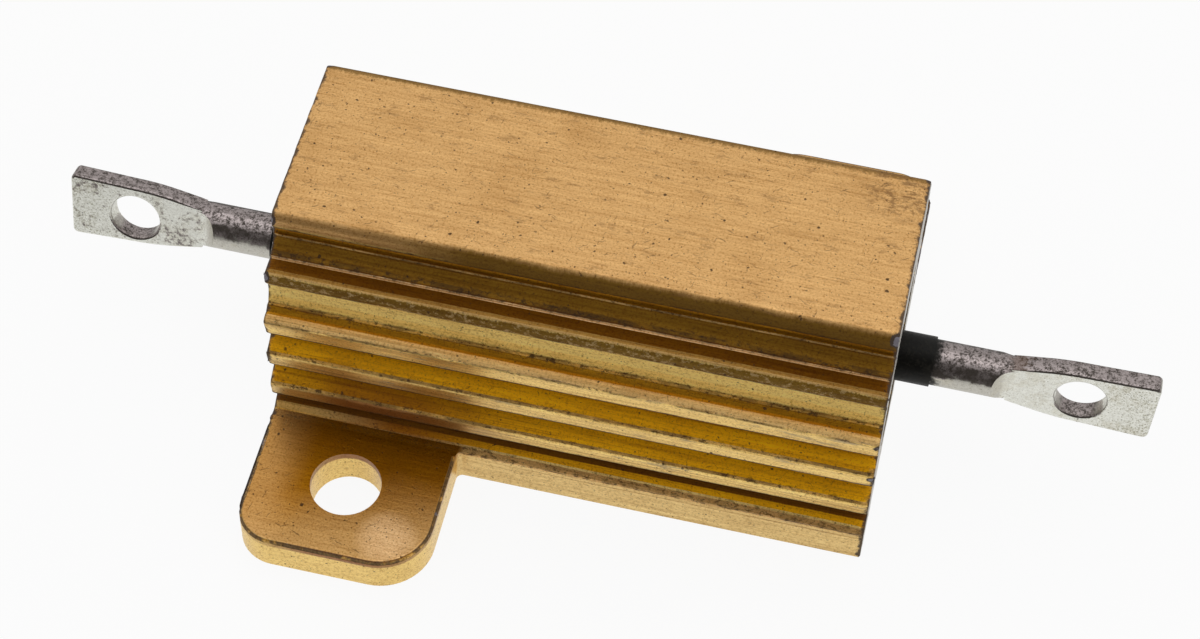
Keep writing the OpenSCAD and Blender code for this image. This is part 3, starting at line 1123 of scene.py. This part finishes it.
def shade(piece: bpy.types.Object, angle: float) -> None:
    """Shades a piece smooth, with sharp edges above an angle and its large faces kept flat.

    Args:
        piece: The piece.
        angle: The angle in degrees.
    """
    make_active(piece)
    bpy.ops.object.shade_smooth_by_angle(angle=math.radians(angle))
    weights = piece.modifiers.new("weights", "WEIGHTED_NORMAL")
    weights.keep_sharp = True
    bpy.ops.object.modifier_apply(modifier=weights.name)


@dataclass
class Housing:
    """The finned housing, with smooth roundings and saw-cut ends whose edges are worn."""

    node: str = "housing"
    end_x: float = 13.5
    end_strip: float = 0.3
    rim_stop: float = 7.33
    edge_step: float = 0.22
    edge_break: float = 0.09
    edge_slack: float = 0.05
    end_normal: float = 0.98
    cut_shift: float = 0.37
    wear: float = 0.05
    wear_waves: float = 0.35
    foot_z: float = 0.02
    stop_reach: float = 0.1
    stop_z: float = 1.6
    smooth_angle: float = 32.0

    def build(self, material: bpy.types.Material) -> bpy.types.Object:
        """Makes the piece that stands for the node.

        Args:
            material: Its finish.

        Returns:
            The piece.
        """
        piece = merged_copy(self.node, "housing_body")
        self._cut_strips(piece)
        self._break_edges(piece)
        self._wear_ends(piece)
        shade(piece, self.smooth_angle)
        piece.data.materials.clear()
        dress(piece, material)
        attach(piece, BODY)
        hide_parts(self.node)
        return piece

    def _cut_strips(self, piece: bpy.types.Object) -> None:
        """Cuts a narrow strip free at each end and divides it and the end itself finely.

        Args:
            piece: The piece.
        """
        edit(piece)
        inner = (self.end_x - self.end_strip) * MM
        for sign in (-1, 1):
            bisect_x(sign * inner)
        bpy.ops.mesh.select_mode(type="FACE")
        bpy.ops.mesh.select_all(action="DESELECT")
        mesh = bmesh.from_edit_mesh(piece.data)
        for face in mesh.faces:
            face.select_set(abs(face.calc_center_median().x) > inner)
        bmesh.update_edit_mesh(piece.data)
        bpy.ops.mesh.hide(unselected=True)
        low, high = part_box(self.node)
        for axis, normal in ((1, (0.0, 1.0, 0.0)), (2, (0.0, 0.0, 1.0))):
            span = high[axis] - low[axis]
            steps = int(span / (self.edge_step * MM))
            for k in range(1, steps):
                place = [0.0, 0.0, 0.0]
                place[axis] = low[axis] + span * (k + self.cut_shift) / steps
                bpy.ops.mesh.select_all(action="SELECT")
                bpy.ops.mesh.bisect(plane_co=place, plane_no=normal)
        bpy.ops.mesh.reveal(select=False)
        close(piece)

    def _at_rim_stop(self, point: Vector) -> bool:
        """Whether a point is where the rounding of a tab's rim stops against the housing."""
        beside = abs(abs(point.y) - self.rim_stop * MM) < self.stop_reach * MM
        return beside and point.z > self.stop_z * MM

    def _is_end_edge(self, edge: Any) -> bool:
        """Whether an edge runs round one of the ends.

        Args:
            edge: The edge.

        Returns:
            True if it does and isn't at a rim's stop.
        """
        if len(edge.link_faces) != 2:
            return False
        limit = (self.end_x - self.edge_slack) * MM
        if min(abs(vertex.co.x) for vertex in edge.verts) < limit:
            return False
        if any(self._at_rim_stop(vertex.co) for vertex in edge.verts):
            return False
        flat = [abs(face.normal.x) > self.end_normal for face in edge.link_faces]
        return flat[0] != flat[1]

    def _break_edges(self, piece: bpy.types.Object) -> None:
        """Breaks the edges round the ends.

        Args:
            piece: The piece.
        """
        edit(piece)
        select_edges(piece, self._is_end_edge)
        bpy.ops.mesh.remove_doubles(threshold=0.5 * self.edge_break * MM)
        count = select_edges(piece, self._is_end_edge)
        bevel_edges(self.edge_break, 2)
        close(piece)
        log.info("%s: %d end edges broken", piece.name, count)

    def _wear_ends(self, piece: bpy.types.Object) -> None:
        """Pushes the points near the ends inwards by noise, above the foot.

        Args:
            piece: The piece.
        """
        group = piece.vertex_groups.new(name="ends")
        floor = self.foot_z * MM
        limit = (self.end_x - 0.6 * self.end_strip) * MM
        near = [v.index for v in piece.data.vertices if abs(v.co.x) > limit and v.co.z > floor]
        group.add(near, 1.0, "REPLACE")
        texture = bpy.data.textures.new("end_wear", "CLOUDS")
        texture.noise_scale = self.wear_waves * MM
        texture.noise_depth = 2
        wear = piece.modifiers.new("wear", "DISPLACE")
        wear.texture = texture
        wear.texture_coords = "LOCAL"
        wear.vertex_group = group.name
        wear.strength = self.wear * MM
        wear.mid_level = 1.0
        bpy.ops.object.modifier_apply(modifier=wear.name)


@dataclass
class Terminal:
    """A terminal with the edges of its lug and of the lug's eye rounded off."""

    node: str
    name: str
    lug_x: float = 18.82
    eye_x: float = 21.7
    eye_slack: float = 0.001
    edge_r: float = 0.12
    flat_angle: float = 0.5
    sharp_angle: float = 35.0
    smooth_angle: float = 40.0

    def build(self, material: bpy.types.Material) -> bpy.types.Object:
        """Makes the piece that stands for the node.

        Args:
            material: Its finish.

        Returns:
            The piece.
        """
        piece = merged_copy(self.node, self.name)
        edit(piece)
        for sign in (-1, 1):
            bisect_x(sign * self.eye_x * MM)
        select_edges(piece, self._is_in_flat)
        bpy.ops.mesh.dissolve_edges(use_verts=False)
        count = select_edges(piece, self._is_sharp)
        bevel_edges(self.edge_r, 3)
        close(piece)
        shade(piece, self.smooth_angle)
        piece.data.materials.clear()
        dress(piece, material)
        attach(piece, BODY)
        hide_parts(self.node)
        log.info("%s: %d edges rounded", piece.name, count)
        return piece

    def _is_in_flat(self, edge: Any) -> bool:
        """Whether an edge crosses a flat of the lug, other than through the middle of its eye.

        Args:
            edge: The edge.

        Returns:
            True if it does.
        """
        places = [abs(vertex.co.x) for vertex in edge.verts]
        if min(places) < self.lug_x * MM:
            return False
        beside = any(abs(x - self.eye_x * MM) > self.eye_slack * MM for x in places)
        return beside and edge.calc_face_angle() < math.radians(self.flat_angle)

    def _is_sharp(self, edge: Any) -> bool:
        """Whether an edge is a sharp one of the lug.

        Args:
            edge: The edge.

        Returns:
            True if it is.
        """
        if len(edge.link_faces) != 2 or edge.calc_face_angle() < math.radians(self.sharp_angle):
            return False
        return min(abs(vertex.co.x) for vertex in edge.verts) > self.lug_x * MM


# ---- Studio -------------------------------------------------------------------


@dataclass
class Softbox:
    """One square lamp that points at the middle of the part."""

    name: str
    azimuth: float
    elevation: float
    distance: float
    size: float
    radiance: float

    def build(self) -> None:
        """Adds the lamp."""
        a, e = math.radians(self.azimuth), math.radians(self.elevation)
        back = Vector((math.sin(a) * math.cos(e), -math.cos(a) * math.cos(e), math.sin(e)))
        bpy.ops.object.light_add(type="AREA", location=back * self.distance)
        lamp = bpy.context.object
        lamp.name = self.name
        lamp.rotation_euler = back.to_track_quat("Z", "Y").to_euler()
        lamp.data.size = self.size
        lamp.data.energy = self.radiance * math.pi * self.size**2


@dataclass
class Studio:
    """The camera, the floor, the world and the lamps."""

    camera_at: Triple = (13.501, -69.491, 104.078)
    camera_turn: Triple = (35.270, -1.362, 12.886)
    lens: float = 81.035
    sensor: float = 36.0
    clip: Pair = (0.01, 10.0)
    floor_half: float = 1.5
    floor_gap: float = 0.00002
    paper: Colour = (0.90, 0.90, 0.90)
    backdrop: float = 1.0
    sky: float = 0.97
    glow: float = 0.92
    ambient: float = 1.0
    dim: float = 0.08
    table_reach: Pair = (0.034, 0.062)
    front_y: Pair = (-0.12, -0.36)
    front_spread: float = 0.75
    front_edge: Pair = (0.08, -0.16)
    lamps: tuple[Softbox, ...] = (Softbox("lamp_over", 180.0, 80.0, 0.5, 0.2, 1.0),)

    def build(self) -> None:
        """Adds everything that isn't part of the object."""
        self._camera()
        self._floor()
        self._world()
        for lamp in self.lamps:
            lamp.build()
        bpy.context.scene.view_settings.view_transform = "Standard"

    def _camera(self) -> None:
        """Adds the camera."""
        turn = Euler([math.radians(angle) for angle in self.camera_turn])
        place = Vector(self.camera_at) * MM
        bpy.ops.object.camera_add(location=place, rotation=turn)
        camera = bpy.context.object
        camera.data.lens = self.lens
        camera.data.sensor_width = self.sensor
        camera.data.clip_start, camera.data.clip_end = self.clip
        bpy.context.scene.camera = camera

    def _seen(self, sheet: Sheet) -> Link:
        """Tells the rays that show the backdrop, from the camera or by a mirror or glass.

        Args:
            sheet: The backdrop's sheet.

        Returns:
            1 on those rays and 0 on the others.
        """
        seen = sheet.node("LightPath", {}, {}, "Is Camera Ray")
        for kind in ("Is Glossy Ray", "Is Transmission Ray"):
            seen = seen.at_least(sheet.node("LightPath", {}, {}, kind))
        return seen

    def _floor(self) -> None:
        """Adds a pale floor that keeps a light shadow, and looks dim in mirrors far out."""
        under = (0.0, 0.0, -self.floor_gap)
        bpy.ops.mesh.primitive_plane_add(size=2 * self.floor_half, location=under)
        floor = bpy.context.object
        floor.name = "floor"
        material, sheet = new_material("floor_paper")
        paper = sheet.node("BsdfDiffuse", {}, {"Color": rgba(self.paper)})
        point = sheet.node("TexCoord", {}, {}, "Object")
        reach = sheet.node("VectorMath", {"operation": "LENGTH"}, {0: point}, "Value")
        mirrored = sheet.node("LightPath", {}, {}, "Is Glossy Ray")
        fall = mirrored * reach.step(*self.table_reach)
        level = self.backdrop + (self.dim - self.backdrop) * fall
        white = sheet.node("Emission", {}, {"Color": rgba((1.0,) * 3), "Strength": level})
        factor = self.glow * self._seen(sheet)
        shader = sheet.node("MixShader", {}, {0: factor, 1: paper, 2: white})
        sheet.node("OutputMaterial", {}, {"Surface": shader})
        dress(floor, material)

    def _world(self) -> None:
        """Fills the world with a plain pale light that is dim in a wedge in front."""
        world = bpy.data.worlds.new("studio")
        world.use_nodes = True
        bpy.context.scene.world = world
        sheet = Sheet(world.node_tree)
        camera = sheet.node("LightPath", {}, {}, "Is Camera Ray")
        x, y, _ = sheet.parts(sheet.node("TexCoord", {}, {}, "Generated"))
        wedge = (abs(x) + self.front_spread * y).step(*self.front_edge)
        front = y.step(*self.front_y) * wedge
        level = self.ambient + (self.dim - self.ambient) * front
        level = level + (self.sky - level) * camera
        shader = sheet.node("Background", {}, {"Strength": level})
        sheet.node("OutputWorld", {}, {"Surface": shader})


# ---- The part -----------------------------------------------------------------


def main() -> None:
    """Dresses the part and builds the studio."""
    logging.basicConfig(level=logging.INFO, format="%(name)s: %(message)s")
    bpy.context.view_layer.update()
    bpy.ops.object.select_all(action="DESELECT")
    Studio().build()
    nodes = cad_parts
    gold = AnodisedGold().make()
    housing = Housing().build(gold)
    log.info("%s: %d faces", housing.name, len(housing.data.polygons))
    tinned = Tinned().make()
    for side in Side:
        terminal = Terminal(f"terminal_{side.value}", f"lug_{side.value}").build(tinned)
        log.info("%s: %d faces", terminal.name, len(terminal.data.polygons))
    steel = Turned("cap_steel", (0.56, 0.55, 0.53), (0.42, 0.40, 0.38), 0.30, 9.0)
    alloy = Turned("wire_alloy", (0.46, 0.43, 0.39), (0.34, 0.30, 0.27), 0.28, 3.0)
    finishes = {
        "moulding": Moulded(),
        "ceramic_core": Fired(),
        "resistance_winding": alloy,
        "core_cap_left": steel,
        "core_cap_right": steel,
    }
    for name, finish in finishes.items():
        dress(nodes[name], finish.make())
        log.info("%s dressed", name)


if __name__ == "__main__":
    main()
